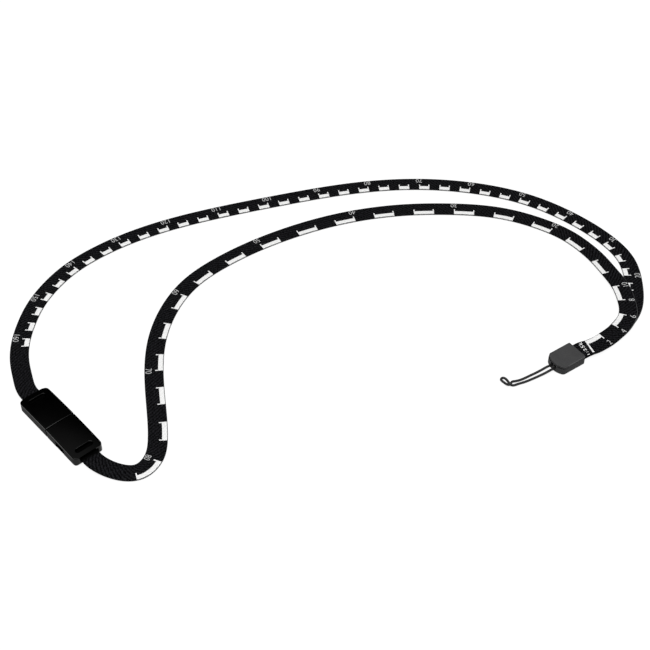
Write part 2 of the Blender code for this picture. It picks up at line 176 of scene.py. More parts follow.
def grey(level):
    return level, level, level


def newMaterial(name):
    material = bpy.data.materials.new(name)
    material.use_nodes = True
    return material, material.node_tree, material.node_tree.nodes["Principled BSDF"]


def newGroup(name, vector, numbers, results):
    # one vector and some numbers go in, and only numbers come out
    group = bpy.data.node_groups.new(name, "ShaderNodeTree")
    group.interface.new_socket(vector, in_out="INPUT", socket_type="NodeSocketVector")
    for way, labels in (("INPUT", numbers), ("OUTPUT", results)):
        for label in labels:
            group.interface.new_socket(label, in_out=way, socket_type="NodeSocketFloat")
    return group, group.nodes.new("NodeGroupInput"), group.nodes.new("NodeGroupOutput")


def feed(tree, value, socket):
    if isinstance(value, bpy.types.NodeSocket):
        tree.links.new(value, socket)
    else:
        socket.default_value = value


def feedAll(tree, node, values):
    for label, value in values.items():
        feed(tree, value, node.inputs[label])


def maths(tree, operation, a, b=None, c=None):
    node = tree.nodes.new("ShaderNodeMath")
    node.operation = operation
    for value, socket in zip((a, b, c), node.inputs):
        if value is not None:
            feed(tree, value, socket)
    return node.outputs[0]


def vectorMaths(tree, operation, a, b):
    node = tree.nodes.new("ShaderNodeVectorMath")
    node.operation = operation
    feed(tree, a, node.inputs[0])
    feed(tree, b, node.inputs[1])
    return node.outputs


def wave(tree, phase):
    # half a sine: 0 in the valley, 1 on the crest, once per unit of phase
    turn = maths(tree, "MULTIPLY", phase, 2 * math.pi)
    return maths(tree, "MULTIPLY_ADD", maths(tree, "SINE", turn), 0.5, 0.5)


def noise(tree, vector, scale, detail=3.0, rough=0.5):
    node = tree.nodes.new("ShaderNodeTexNoise")
    feedAll(tree, node, {"Vector": vector, "Scale": scale, "Detail": detail, "Roughness": rough})
    return node.outputs["Fac"]


def ramp(tree, fac, stops):
    node = tree.nodes.new("ShaderNodeValToRGB")
    feed(tree, fac, node.inputs["Fac"])
    elements = node.color_ramp.elements
    stops = list(stops)
    while len(elements) < len(stops):
        elements.new(0.5)  # its position is set below
    for element, (position, colour) in zip(elements, stops):
        element.position = position
        element.color = (*colour, 1.0)
    return node.outputs["Color"]


def bump(tree, height, distance):
    node = tree.nodes.new("ShaderNodeBump")
    feedAll(tree, node, {"Height": height, "Distance": distance})
    return node.outputs["Normal"]


def layVector(tree):
    node = tree.nodes.new("ShaderNodeUVMap")
    node.uv_map = "lay"
    return node.outputs["UV"]


def objectVector(tree):
    return tree.nodes.new("ShaderNodeTexCoord").outputs["Object"]


def openness(tree):
    # painted light level: 1 where nothing is painted, towards 0 for painted shade in slots and holes, over 1
    # for a painted highlight
    node = tree.nodes.new("ShaderNodeAttribute")
    node.attribute_name = "paintedShading"
    return maths(tree, "SUBTRACT", 1.0, node.outputs["Fac"])


def mixColour(tree, factor, a, b):
    node = tree.nodes.new("ShaderNodeMix")
    node.data_type = "RGBA"
    feedAll(tree, node, {"Factor": factor, "A": a, "B": b})
    return node.outputs["Result"]


# painted shade: the near-black colour that shaded slots, holes and ends are mixed towards
shadeColour = (*grey(0.0003), 1.0)


def inShade(tree, colour):
    return mixColour(tree, openness(tree), shadeColour, colour)


def knotVector(tree):
    # metres to centimetres, as the cord's lay is
    return vectorMaths(tree, "MULTIPLY", objectVector(tree), grey(100.0))[0]


def finishShader(tree, shader, colour, rough, shine, relief, depth):
    feedAll(tree, shader, {"Base Color": colour, "Roughness": rough, "Specular IOR Level": shine})
    feed(tree, bump(tree, relief, depth), shader.inputs["Normal"])


def placeGroup(tree, group, **values):
    node = tree.nodes.new("ShaderNodeGroup")
    node.node_tree = group
    feedAll(tree, node, values)
    return node


# twill weave: lay is in centimetres along and across the strap. Each lengthwise yarn floats over and dips
# under once per pitch, a step later than its neighbour, so the floats line up in slanting ribs
twillSpec = {
    "pitch": 0.15, "yarnsPerPitch": 4.0, "yarnRound": 0.6,
    "strayScale": 11.0, "stray": 1.1,
    "fibreScale": (30.0, 260.0, 1.0), "fibreRelief": 0.12,
    "patchScale": 19.0, "patchGain": 7.0, "patchFrom": 0.4, "patchMost": 1.7, "patchLeast": 0.35,
    # each a gain and an offset
    "yarnRelief": (0.6, 0.4), "yarnFleck": (0.3, 0.5), "fibreFleck": (1.2, 0.6), "fleckRange": (0.75, 0.10),
}


def makeTwill():
    spec = twillSpec
    results = ("Relief", "Fleck", "Along", "Across")
    group, start, end = newGroup("twillWeave", "Lay", ("Pitch",), results)

    def op(operation, *values):
        return maths(group, operation, *values)

    lay, pitch = start.outputs["Lay"], start.outputs["Pitch"]
    split = group.nodes.new("ShaderNodeSeparateXYZ")
    feed(group, lay, split.inputs[0])
    along = op("DIVIDE", split.outputs["X"], pitch)
    yarns = op("DIVIDE", split.outputs["Y"], pitch)
    yarns = op("MULTIPLY", yarns, spec["yarnsPerPitch"])
    later = op("DIVIDE", op("FLOOR", yarns), spec["yarnsPerPitch"])
    stray = noise(group, lay, spec["strayScale"], 4.0, 0.7)
    stray = op("MULTIPLY_ADD", stray, spec["stray"], -spec["stray"] / 2)
    rise = wave(group, op("ADD", op("ADD", along, later), stray))
    yarn = op("SINE", op("MULTIPLY", op("FRACT", yarns), math.pi))
    yarn = op("POWER", op("ABSOLUTE", yarn), spec["yarnRound"])
    stretched = vectorMaths(group, "MULTIPLY", lay, spec["fibreScale"])[0]
    fibre = noise(group, stretched, 1.0, 2.0)
    relief = op("MULTIPLY", rise, op("MULTIPLY_ADD", yarn, *spec["yarnRelief"]))
    relief = op("MULTIPLY_ADD", fibre, spec["fibreRelief"], relief)
    fleck = op("MULTIPLY", rise, op("MULTIPLY_ADD", yarn, *spec["yarnFleck"]))
    fleck = op("MULTIPLY", fleck, op("MULTIPLY_ADD", fibre, *spec["fibreFleck"]))
    # some floats stand out and some are hidden
    patch = noise(group, lay, spec["patchScale"], 1.0)
    patch = op("MULTIPLY_ADD", patch, spec["patchGain"], -spec["patchGain"] * spec["patchFrom"])
    patch = op("MINIMUM", op("MAXIMUM", patch, 0.0), spec["patchMost"])
    patch = op("ADD", patch, spec["patchLeast"])
    fleck = op("MULTIPLY", op("MULTIPLY_ADD", fleck, *spec["fleckRange"]), patch)
    across = op("MULTIPLY", split.outputs["Y"], -1.0)
    feedAll(group, end, dict(zip(results, (relief, fleck, split.outputs["X"], across))))
    return group


# moulded plastic: fine spark-eroded grain and a slow drift of tone
mouldSpec = {"driftScale": 180.0, "driftShare": 0.6, "roughDrift": 0.12}


def makeMould():
    results = ("Relief", "Tone", "Rough")
    group, start, end = newGroup("mouldGrain", "Vector", ("Grain", "Rough"), results)
    vector = start.outputs["Vector"]
    fine = noise(group, vector, start.outputs["Grain"], 2.0)
    drift = noise(group, vector, mouldSpec["driftScale"], 4.0, 0.6)
    slow = maths(group, "MULTIPLY", drift, mouldSpec["driftShare"])
    tone = maths(group, "MULTIPLY_ADD", fine, 1 - mouldSpec["driftShare"], slow)
    rough = maths(group, "MULTIPLY_ADD", drift, mouldSpec["roughDrift"], start.outputs["Rough"])
    feedAll(group, end, dict(zip(results, (fine, tone, rough))))
    return group


twill = makeTwill()
mould = makeMould()

# black webbing, with a painted highlight along its turned edge on a stretch, in decimetres, where one strap
# rides over the other
webbingSpec = {
    "dark": (0.0004, 0.0004, 0.0005), "light": (0.0138, 0.0138, 0.0158), "fleck": (0.10, 0.75),
    "edgeGlintColour": (0.090, 0.090, 0.092, 1.0), "edge": (0.306, 0.312), "riding": (0.24, 0.30, 0.60, 0.70),
    "rough": 0.90, "crestRough": 0.75, "shine": 0.04, "relief": 0.00008,
}


def makeWebbing():
    spec = webbingSpec
    material, tree, shader = newMaterial("blackWebbing")
    weave = placeGroup(tree, twill, Lay=layVector(tree), Pitch=twillSpec["pitch"])
    yarn = ramp(tree, weave.outputs["Fleck"], zip(spec["fleck"], (spec["dark"], spec["light"])))
    black, white = grey(0.0), grey(1.0)
    turned = ramp(tree, weave.outputs["Across"], zip(spec["edge"], (black, white)))
    decimetres = maths(tree, "MULTIPLY", weave.outputs["Along"], 0.1)
    riding = ramp(tree, decimetres, zip(spec["riding"], (black, white, white, black)))
    # painted highlight: a lighter colour along the edge on the riding stretch
    edgeGlint = maths(tree, "MULTIPLY", turned, riding)
    colour = mixColour(tree, edgeGlint, yarn, spec["edgeGlintColour"])
    smoother = spec["crestRough"] - spec["rough"]
    rough = maths(tree, "MULTIPLY_ADD", weave.outputs["Relief"], smoother, spec["rough"])
    colour = inShade(tree, colour)
    finishShader(tree, shader, colour, rough, spec["shine"], weave.outputs["Relief"], spec["relief"])
    return material


# ink over the weave: full for the bars, thinner for the numbers
inkSpec = {
    "whiteInk": {"worn": (0.72, 0.72, 0.715), "clean": (0.91, 0.91, 0.905)},
    "thinInk": {"worn": grey(0.42), "clean": grey(0.62)},
    "wearScale": 14.0, "wear": (0.10, 0.45), "rough": 0.75, "shine": 0.25, "relief": 0.00004,
}


def makeInk(name):
    spec = inkSpec
    material, tree, shader = newMaterial(name)
    lay = layVector(tree)
    weave = placeGroup(tree, twill, Lay=lay, Pitch=twillSpec["pitch"])
    wear = maths(tree, "MULTIPLY", noise(tree, lay, spec["wearScale"]), 0.5)
    wear = maths(tree, "MULTIPLY_ADD", weave.outputs["Fleck"], 0.5, wear)
    colour = ramp(tree, wear, zip(spec["wear"], (spec[name]["worn"], spec[name]["clean"])))
    finishShader(tree, shader, colour, spec["rough"], spec["shine"], weave.outputs["Relief"], spec["relief"])
    return material


# plastics: some take painted light, a painted shade, dark and dull, in slots and holes and a painted
# highlight on edges
plasticSpec = {
    "bucklePlastic": {
        "dark": grey(0.0001), "light": grey(0.0004),
        "grain": 2600.0, "relief": 0.000005, "rough": 0.14, "shine": 0.16, "takesPaintedLight": True,
    },
    "clampPlastic": {
        "dark": grey(0.0002), "light": grey(0.0005),
        "grain": 4200.0, "relief": 0.000006, "rough": 0.50, "shine": 0.02, "takesPaintedLight": False,
    },
    "blockPlastic": {
        "dark": (0.0505, 0.0505, 0.0515), "light": (0.0645, 0.0645, 0.0655),
        "grain": 3600.0, "relief": 0.000010, "rough": 0.50, "shine": 0.055, "takesPaintedLight": True,
    },
}
# how much lighter the painted highlight on edges is
highlightGain = 1.6


def makePlastic(name):
    spec = plasticSpec[name]
    material, tree, shader = newMaterial(name)
    finish = placeGroup(tree, mould, Vector=objectVector(tree), Grain=spec["grain"], Rough=spec["rough"])
    colour = ramp(tree, finish.outputs["Tone"], [(0.3, spec["dark"]), (0.7, spec["light"])])
    shine = spec["shine"]
    if spec["takesPaintedLight"]:
        # painted highlight where the light level is over 1, painted shade towards near black below it
        wear = maths(tree, "SUBTRACT", openness(tree), 1.0)
        highlightColour = (*(highlightGain * c for c in spec["light"]), 1.0)
        colour = mixColour(tree, wear, inShade(tree, colour), highlightColour)
        shine = maths(tree, "MULTIPLY", openness(tree), shine)
    rough, relief = finish.outputs["Rough"], finish.outputs["Relief"]
    finishShader(tree, shader, colour, rough, shine, relief, spec["relief"])
    return material


# braid: lay is centimetres along the cord and turns around it; strands wind both ways, the higher one shows
braidSpec = {
    "pitch": 0.06, "strands": 3.0, "dark": grey(0.008), "light": (0.040, 0.040, 0.041),
    "rough": 0.75, "shine": 0.2, "relief": 0.00006,
}


def makeBraid(name, vector):
    spec = braidSpec
    material, tree, shader = newMaterial(name)
    split = tree.nodes.new("ShaderNodeSeparateXYZ")
    feed(tree, vector(tree), split.inputs[0])
    along = maths(tree, "DIVIDE", split.outputs["X"], spec["pitch"])
    turns = maths(tree, "MULTIPLY", split.outputs["Y"], spec["strands"])
    left = wave(tree, maths(tree, "ADD", along, turns))
    right = wave(tree, maths(tree, "SUBTRACT", along, turns))
    strand = maths(tree, "MAXIMUM", left, right)
    colour = ramp(tree, strand, [(0.3, spec["dark"]), (0.95, spec["light"])])
    colour = inShade(tree, colour)
    finishShader(tree, shader, colour, spec["rough"], spec["shine"], strand, spec["relief"])
    return material


webbing = makeWebbing()
ink = makeInk("whiteInk")
thinInk = makeInk("thinInk")
bucklePlastic = makePlastic("bucklePlastic")
clampPlastic = makePlastic("clampPlastic")
blockPlastic = makePlastic("blockPlastic")
braid = makeBraid("cordBraid", layVector)
knotBraid = makeBraid("knotBraid", knotVector)
print("materials made")


# straps

strapSpec = {
    "width": 0.0066, "thickness": 0.0006, "step": 0.0005, "lead": 0.0025,
    "flatColumns": 22, "edgeColumns": 7,
    "roll": math.radians(5.0), "rollStart": (0.0040, 0.0065), "rollEnd": (0.0130, 0.0320),
    "shadeAtBlock": 0.0010, "shadeAtBuckle": 0.0015,
}
blockRear = 0.00555
strapBite = 0.0048
pocketDepth = 0.0053
buckleEnds = {"socket": 0.01675, "plug": -0.01675}

# routes: a point of two numbers lies flat on the table
route25k = [
    (0.0889, -0.0184, 0.00205), (0.0954, -0.0137, 0.0015), (0.1004, -0.009, 0.00125),
    (0.105, -0.0015, 0.0012), (0.1056, 0.005, 0.0012), (0.1042, 0.0144, 0.0012), (0.1014, 0.022, 0.0009),
    (0.098, 0.0299, 0.00045), (0.0941, 0.0361), (0.0891, 0.0419), (0.0796, 0.0488), (0.0645, 0.0552),
    (0.0454, 0.0576), (0.026, 0.0569), (0.0028, 0.0518), (-0.0201, 0.0417), (-0.042, 0.0266),
    (-0.0524, 0.0154), (-0.0582, 0.0039), (-0.0619, -0.013), (-0.0613, -0.0323), (-0.0587, -0.0504),
    (-0.0578, -0.0591), (-0.0588, -0.0677), (-0.063, -0.0726, 0.0004), (-0.0697, -0.0726, 0.0007),
    (-0.0736, -0.0712, 0.0012),
]
route50k = [
    (0.092, -0.016, 0.0009), (0.0975, -0.0115, 0.00045), (0.103, -0.005), (0.107, 0.0015),
    (0.1091, 0.0085), (0.1099, 0.0159), (0.1089, 0.029), (0.1034, 0.0396), (0.0923, 0.0517),
    (0.0769, 0.0627), (0.0541, 0.0706), (0.0306, 0.0727), (0.0068, 0.07), (-0.0205, 0.0629),
    (-0.0435, 0.0557), (-0.0659, 0.0468), (-0.0873, 0.0333), (-0.0982, 0.0221), (-0.103, 0.0143),
    (-0.1069, 0.0049), (-0.109, -0.0053), (-0.1096, -0.0132), (-0.1092, -0.0201, 0.00035),
    (-0.1081, -0.0255, 0.00055), (-0.1061, -0.032, 0.00095),
]


def strapLine(route, height, mouth, tuck):
    # middle line, width direction and upward direction of a strap at even steps along it; where it has
    # just left the block it is tucked a little sideways and rolls towards the loop's outside
    inward = -math.copysign(1.0, mouth)
    bite = [(blockRear + x, 0, height) for x in (-strapBite, 0, strapSpec["lead"])]
    grip = [(mouth + inward * x, 0, 0) for x in (-strapSpec["lead"], 0, pocketDepth - gap)]
    free = np.array([(*point, strapSpec["thickness"] / 2)[:3] for point in route])
    points = np.concatenate([toWorld(blockAt, bite), free, toWorld(buckleAt, grip)])
    middle = smoothRoute(points, strapSpec["step"])
    along, across, up = travel(middle)
    u = lengthAlong(middle)
    near = smoothStep(*strapSpec["rollStart"], u) - smoothStep(*strapSpec["rollEnd"], u)
    middle = middle + across * (tuck * near)[:, None]
    roll = (strapSpec["roll"] * near)[:, None]
    tilted = across * np.cos(roll) + up * np.sin(roll)
    return {"u": u, "middle": middle, "across": tilted, "up": np.cross(along, tilted)}


def onStrap(line, u, v, w):
    # place at u along, v across and w above the middle line
    def read(key):
        return np.stack([np.interp(u, line["u"], line[key][:, k]) for k in range(3)], axis=-1)
    return read("middle") + read("across") * v[..., None] + read("up") * w[..., None]


def strapHeight(v):
    # upper face of the webbing over its middle plane: flat, with half-round edges
    radius = strapSpec["thickness"] / 2
    out = np.clip(np.abs(v) - strapSpec["width"] / 2 + radius, 0.0, radius)
    return np.sqrt(radius ** 2 - out ** 2)


def endShade(u, first, last):
    # painted shade: 1 inside the holes at both ends of a strap or cord, fading to 0 from one length to the
    # next
    return np.maximum(1 - smoothStep(*first, u), 1 - smoothStep(*last, u[-1] - u))


def alongStrap(line, u, v, w):
    # a closed section (v, w) carried along u, with centimetres as its lay
    uGrid, vGrid = np.meshgrid(u, v, indexing="ij")
    grid = onStrap(line, uGrid, vGrid, np.broadcast_to(w, uGrid.shape))
    return tubeShell(grid, u * 100, np.append(v, v[0]) * 100)


def strapShell(line):
    # flat top and bottom joined by half-round edges, carried along the strap's line
    radius = strapSpec["thickness"] / 2
    flatHalf = strapSpec["width"] / 2 - radius
    flat = np.linspace(-flatHalf, flatHalf, strapSpec["flatColumns"])
    level = np.full(len(flat), radius)
    turn = np.linspace(0.0, math.pi, strapSpec["edgeColumns"] + 2)[1:-1]
    out, rise = radius * np.sin(turn), radius * np.cos(turn)
    v = np.concatenate([flat, flatHalf + out, flat[::-1], -flatHalf - out])
    w = np.concatenate([level, rise, -level, -rise])
    return alongStrap(line, line["u"], v, w)


# printed scales: bars of two units with a tick at each end, along the strap's left edge
printSpec = {
    "rise": 0.00002, "sink": 0.00008, "barDepth": 0.00185, "tickDepth": 0.00285, "tickWidth": 0.00038,
    "tickOverlap": 0.0001, "zeroWidth": 0.00060, "edge": 0.00002, "step": 0.0004, "columns": 9,
    "numberHeight": 0.0021, "numberStretch": 0.85, "numberAt": -0.00185, "numberWeight": -0.012,
    "ratioLength": 0.0060, "ratioHeight": 0.0013, "ratioAt": -0.0021, "ratioWeight": 0.004,
    "ratioSpacing": 1.15,
}


def printSlabs(line, boxes):
    # each box (u0, u1, v0, v1) becomes a thin closed slab that follows the webbing's face
    columns = printSpec["columns"]
    lift = np.repeat([printSpec["rise"], -printSpec["sink"]], columns)
    shells = []
    for u0, u1, v0, v1 in boxes:
        rows = max(2, int((u1 - u0) / printSpec["step"]) + 1)
        v = np.concatenate([np.linspace(v0, v1, columns), np.linspace(v1, v0, columns)])
        shells.append(alongStrap(line, np.linspace(u0, u1, rows), v, strapHeight(v) + lift))
    return shells


def textOutline(words, weight, spacing=1.0):
    # a word as closed letters of unit height, centred, from the built-in typeface made thinner or bolder
    curve = bpy.data.curves.new("word", "FONT")
    curve.body = words
    curve.align_x = "CENTER"
    curve.extrude = 0.05
    curve.resolution_u = 4
    curve.offset = weight
    curve.space_character = spacing
    holder = addObject("word", curve)
    seen = holder.evaluated_get(bpy.context.evaluated_depsgraph_get())
    mesh = bpy.data.meshes.new_from_object(seen)
    shape = bmesh.new()
    shape.from_mesh(mesh)
    bmesh.ops.remove_doubles(shape, verts=shape.verts, dist=0.0005)
    bmesh.ops.recalc_face_normals(shape, faces=shape.faces)
    shape.to_mesh(mesh)
    shape.free()
    points = np.array([vertex.co for vertex in mesh.vertices], float)
    faces = [list(face.vertices) for face in mesh.polygons]
    bpy.data.objects.remove(holder)
    bpy.data.curves.remove(curve)
    bpy.data.meshes.remove(mesh)
    low, high = points.min(axis=0), points.max(axis=0)
    points[:, :2] -= (low + high)[:2] / 2
    points[:, :2] /= high[1] - low[1]
    points[:, 2] = np.sign(points[:, 2])
    return points, faces


def layLetters(line, u, v, top, faces):
    # letters laid on the strap's face at u along and v across, their backs sunk into it
    lift = np.where(top > 0, printSpec["rise"], -printSpec["sink"])
    lay = np.stack([u, v], axis=1) * 100
    corners = np.concatenate([lay[face] for face in faces])
    return onStrap(line, u, v, strapHeight(v) + lift), faces, corners


def printNumber(line, number, u):
    # reads along the strap with its top towards the bars
    points, faces = textOutline(str(number), printSpec["numberWeight"])
    x = points[:, 0] * printSpec["numberHeight"] * printSpec["numberStretch"]
    y = points[:, 1] * printSpec["numberHeight"]
    return layLetters(line, u + x, printSpec["numberAt"] + y, points[:, 2], faces)


def printRatio(line, words, u):
    # reads right across the strap with its top towards the block
    points, faces = textOutline(words, printSpec["ratioWeight"], printSpec["ratioSpacing"])
    x = points[:, 0] * printSpec["ratioLength"] / np.ptp(points[:, 0])
    y = points[:, 1] * printSpec["ratioHeight"]
    return layLetters(line, u - y, x, points[:, 2], faces)


def printScale(line, zero, unit, last, numbers):
    # a bar for every other step of two units, a tick at each of its ends but the first, and a line at zero
    half = strapSpec["width"] / 2
    edge = half - printSpec["edge"]
    barEdge, tickEdge = half - printSpec["barDepth"], half - printSpec["tickDepth"]
    width = printSpec["tickWidth"]
    bars = []
    for mark in range(0, last, 4):
        start, end = zero + mark * unit, zero + (mark + 2) * unit
        bars.append((start, end, edge, barEdge))
        for tick in (start, end - width):
            if mark > 0 or tick > start:
                bars.append((tick, tick + width, barEdge + printSpec["tickOverlap"], tickEdge))
    bars.append((zero, zero + printSpec["zeroWidth"], edge, -edge))
    words = [printNumber(line, number, zero + number * unit) for number in numbers]
    return printSlabs(line, bars), words


straps = {
    "25k": {
        "route": route25k, "height": 0.0023, "mouth": buckleEnds["socket"], "tuck": -0.0002,
        "zero": 0.0098, "unit": 0.003935, "last": 82, "ratio": "1:25k",
        "numbers": [2, 4, 6, 8, *range(10, 81, 10)],
    },
    "50k": {
        "route": route50k, "height": 0.0014, "mouth": buckleEnds["plug"], "tuck": 0.0,
        "zero": 0.01535, "unit": 0.002025, "last": 162, "ratio": "1:50k",
        "numbers": [*range(20, 161, 10)],
    },
}
for label, spec in straps.items():
    line = strapLine(spec["route"], spec["height"], spec["mouth"], spec["tuck"])
    bars, words = printScale(line, spec["zero"], spec["unit"], spec["last"], spec["numbers"])
    bars.append(printRatio(line, spec["ratio"], spec["zero"] + printSpec["ratioAt"]))
    shell = strapShell(line)
    # painted shade on the strap inside the block and just out of the buckle's mouth
    shadeInBlock = (strapBite - strapSpec["shadeAtBlock"], strapBite)
    shadeByBuckle = (pocketDepth, pocketDepth + strapSpec["shadeAtBuckle"])
    shade = endShade(line["u"], shadeInBlock, shadeByBuckle)
    web = makePiece("webbing_" + label, [shell], webbing, np.repeat(shade, len(shell[0]) // len(shade)))
    scale = makePiece("scale_bars_" + label, bars, ink)
    figures = makePiece("scale_numbers_" + label, words, thinInk)
    spec["line"] = line
    spec["pieces"] = [web, scale, figures]
    print("strap", label, "is", round(line["u"][-1] * 1000, 1), "mm long")


# buckle

buckleSpec = {
    "width": 0.0110, "endTop": 0.0036, "crown": 0.0006, "dome": 0.00022, "mattWall": 0.955,
    "corner": 0.0016, "heel": 0.0009, "edgeTop": 0.00045, "edgeLow": 0.00035,
    "groove": 0.00016, "grooveSlope": 0.62,
    "slotLength": 0.0062, "slotWidth": 0.0015, "slotInset": 0.0029, "slotDepth": 0.0010,
    "slotRim": 0.0003, "slotWall": 0.00008,
    "mouthWidth": 0.0072, "mouthLow": -0.0006, "mouthHigh": 0.0012, "holeRound": 0.0003,
    "windowStart": 0.0054, "windowLength": 0.0046, "windowHeight": 0.0026, "windowDepth": 0.0015,
    "windowWall": 0.0001, "windowSill": (0.00005, 0.0002),
    "cavityWidth": 0.0068, "cavityHeight": 0.0022, "cavityDepth": 0.0105,
    "lip": 0.0001, "lipShares": (0.35, 0.7, 0.95), "mouthThroat": 0.001, "faceShare": 0.97,
}
windowEnds = (buckleSpec["windowStart"], buckleSpec["windowStart"] + buckleSpec["windowLength"])
seamX = -0.00015
halves = {"socket": {"length": 0.0169, "side": 1}, "plug": {"length": 0.0166, "side": -1}}
ringCounts = {"top": 76, "low": 30, "side": 16, "corner": 6}
stationSpec = {"pastGroove": (0.00003, 0.00010), "first": 0.0012, "pastRim": 0.00005, "byWindow": 0.00012}


def boxRing(half, low, high, top, bottom):
    # rounded rectangle in (y, z), always with the same number of points on each side and corner
    quarter = np.linspace(0.0, math.pi / 2, ringCounts["corner"] + 2)[1:-1]

    def corner(y, z, radius, first):
        turn = first + quarter
        return np.stack([y + radius * np.cos(turn), z + radius * np.sin(turn)], axis=1)

    parts = [
        np.linspace((half, low + bottom), (half, high - top), ringCounts["side"]),
        corner(half - top, high - top, top, 0.0),
        np.linspace((half - top, high), (-half + top, high), ringCounts["top"]),
        corner(-half + top, high - top, top, math.pi / 2),
        np.linspace((-half, high - top), (-half, low + bottom), ringCounts["side"]),
        corner(-half + bottom, low + bottom, bottom, math.pi),
        np.linspace((-half + bottom, low), (half - bottom, low), ringCounts["low"]),
        corner(half - bottom, low + bottom, bottom, 1.5 * math.pi),
    ]
    return np.concatenate(parts)


def arcDrop(radius, reach):
    # how far a circle has fallen away from its tangent after the reach
    return radius - math.sqrt(max(0.0, radius ** 2 - max(0.0, reach) ** 2))


def standAt(x, ring):
    return np.column_stack([np.full(len(ring), x), ring])


def halfStations(length, hasCavity):
    # distances from the seam at which a half has a section: dense by the seam, slot, corner and windows
    spec = buckleSpec
    face = gap / 2
    slotAt = length - spec["slotInset"]
    reach = spec["slotWidth"] / 2 + spec["slotRim"] + stationSpec["pastRim"]
    by = stationSpec["byWindow"]
    stations = [
        face + np.linspace(0.0, spec["groove"], 5),
        face + spec["groove"] + np.array(stationSpec["pastGroove"]),
        np.linspace(stationSpec["first"], slotAt - reach, 40)[:-1],
        np.linspace(slotAt - reach, slotAt + reach, 37),
        length - spec["corner"] + spec["corner"] * np.sin(np.linspace(0.0, math.pi / 2, 16)),
    ]
    if hasCavity:
        stations += [end + np.linspace(-by, by, 7) for end in windowEnds]
    stations = np.concatenate(stations)
    return np.unique(np.round(stations[stations <= length], 7))


def slotDrop(x, y, length, deep):
    # obround slot in the top with a round rim: depth by the distance to the slot's middle line
    spec = buckleSpec
    reach = spec["slotWidth"] / 2
    beside = np.maximum(0.0, np.abs(y) - (spec["slotLength"] - spec["slotWidth"]) / 2)
    off = np.hypot(x - length + spec["slotInset"], beside)
    rim = np.clip((reach + spec["slotRim"] - off) / spec["slotRim"], 0.0, 1.0)
    inSlot = 1 - smoothStep(reach - spec["slotWall"], reach, off)
    return spec["slotRim"] * (1 - np.sqrt(1 - rim ** 2)) + inSlot * deep, rim, inSlot


def halfSection(x, length, hasCavity):
    # rounded box at x from the seam, drawn in towards the corner, the heel and the seam's groove, its top
    # crowned along, domed across and sunk at the slot; also the painted shading of each of its points
    spec = buckleSpec
    seat = buckleAt["seat"]
    half = spec["width"] / 2
    straight = length - spec["corner"]
    groove = max(0.0, gap / 2 + spec["groove"] - x)
    width = half - arcDrop(spec["corner"], x - straight) - groove / 2
    low = arcDrop(spec["heel"], x - length + spec["heel"]) + groove / 2 - seat
    crown = spec["crown"] * (1 - (x / length) ** 2)
    high = spec["endTop"] + crown - spec["grooveSlope"] * groove - seat
    y, z = boxRing(width, low, high, spec["edgeTop"], spec["edgeLow"]).T
    onTop = z > high - spec["edgeTop"] / 2
    onWall = (z < high - 1.2 * spec["edgeTop"]) & (np.abs(y) > width - spec["edgeLow"])
    deep = spec["slotDepth"] - spec["slotRim"] + high + seat - spec["endTop"]
    drop, rim, inSlot = slotDrop(x, y, length, deep)
    z = z - np.where(onTop, drop + spec["dome"] * (y / half) ** 2, 0.0)
    # the walls are made matt but for the ends; painted shade makes the slot and the rim on its shaded side
    # black and dull
    matt = spec["mattWall"] * (1 - smoothStep(straight, length, x))
    shaded = (rim > 0.05) & ((x > length - spec["slotInset"]) == hasCavity)
    slotShade = np.maximum(smoothStep(0.2, 0.7, inSlot), shaded)
    pit = np.where(onTop, slotShade, np.where(onWall, matt, 0.0))
    if hasCavity:
        # side windows: a recess low in each side wall, over a thin sill, with painted shade in the recess
        soft = spec["windowWall"]
        inside = smoothStep(windowEnds[0] - soft, windowEnds[0] + soft, x)
        inside = inside - smoothStep(windowEnds[1] - soft, windowEnds[1] + soft, x)
        below = 1 - smoothStep(spec["windowHeight"] - soft, spec["windowHeight"] + soft, z + seat)
        below = below * smoothStep(*spec["windowSill"], z + seat)
        limit = width - spec["windowDepth"] * inside * below
        y = np.clip(y, -limit, limit)
        pit = np.maximum(pit, inside * (z + seat < spec["windowHeight"]))
    return standAt(x, np.stack([y, z], axis=1)), pit


def halfGrid(length, hasCavity):
    # sections from the inside of the seam face, over the outside, into the strap's mouth
    spec = buckleSpec
    face = gap / 2
    sections = [halfSection(x, length, hasCavity) for x in halfStations(length, hasCavity)]
    rings, shadings = map(list, zip(*sections))
    first, last = rings[0][:, 1:], rings[-1][:, 1:]
    plain, dark = np.zeros(len(first)), np.ones(len(first))
    rounds = (spec["holeRound"], spec["holeRound"])
    mouth = boxRing(spec["mouthWidth"] / 2, spec["mouthLow"], spec["mouthHigh"], *rounds)
    back = length - pocketDepth + gap
    rings += [standAt(length, last + share * (mouth - last)) for share in spec["lipShares"]]
    rings += [standAt(x, mouth) for x in (length - spec["lip"], length - spec["mouthThroat"], back)]
    rings.append(standAt(back, mouth * capShare))
    # painted shade deep in the strap's mouth
    shadings += [plain] * 3 + [dark] * 4
    inner, innerShadings = [], [plain] * 2
    if hasCavity:
        lift, depth = spec["cavityHeight"] / 2, spec["cavityDepth"]
        hole = boxRing(spec["cavityWidth"] / 2, -lift, lift, *rounds)
        inner.append(standAt(depth, hole * capShare))
        inner += [standAt(x, hole) for x in (depth, depth / 2, face + spec["lip"])]
        inner.append(standAt(face, first + spec["lipShares"][-1] * (hole - first)))
        # painted shade in the cavity
        innerShadings = [dark] * 4 + innerShadings
    else:
        inner.append(standAt(face, first * capShare))
    inner.append(standAt(face, first * spec["faceShare"]))
    return np.array(inner + rings), np.array(innerShadings + shadings)


def buckleShell(half):
    grid, paintedShading = halfGrid(half["length"], half["side"] > 0)
    grid[..., 0] = seamX + half["side"] * grid[..., 0]
    return closedShell(buckleAt, grid), paintedShading


prongSpec = {
    "length": 0.0105, "root": 0.0010, "outer": 0.0031, "slit": 0.0006, "thickness": 0.0016,
    "tip": 0.0008, "tipNarrow": 0.35, "tipThin": 0.4, "square": 0.25,
}


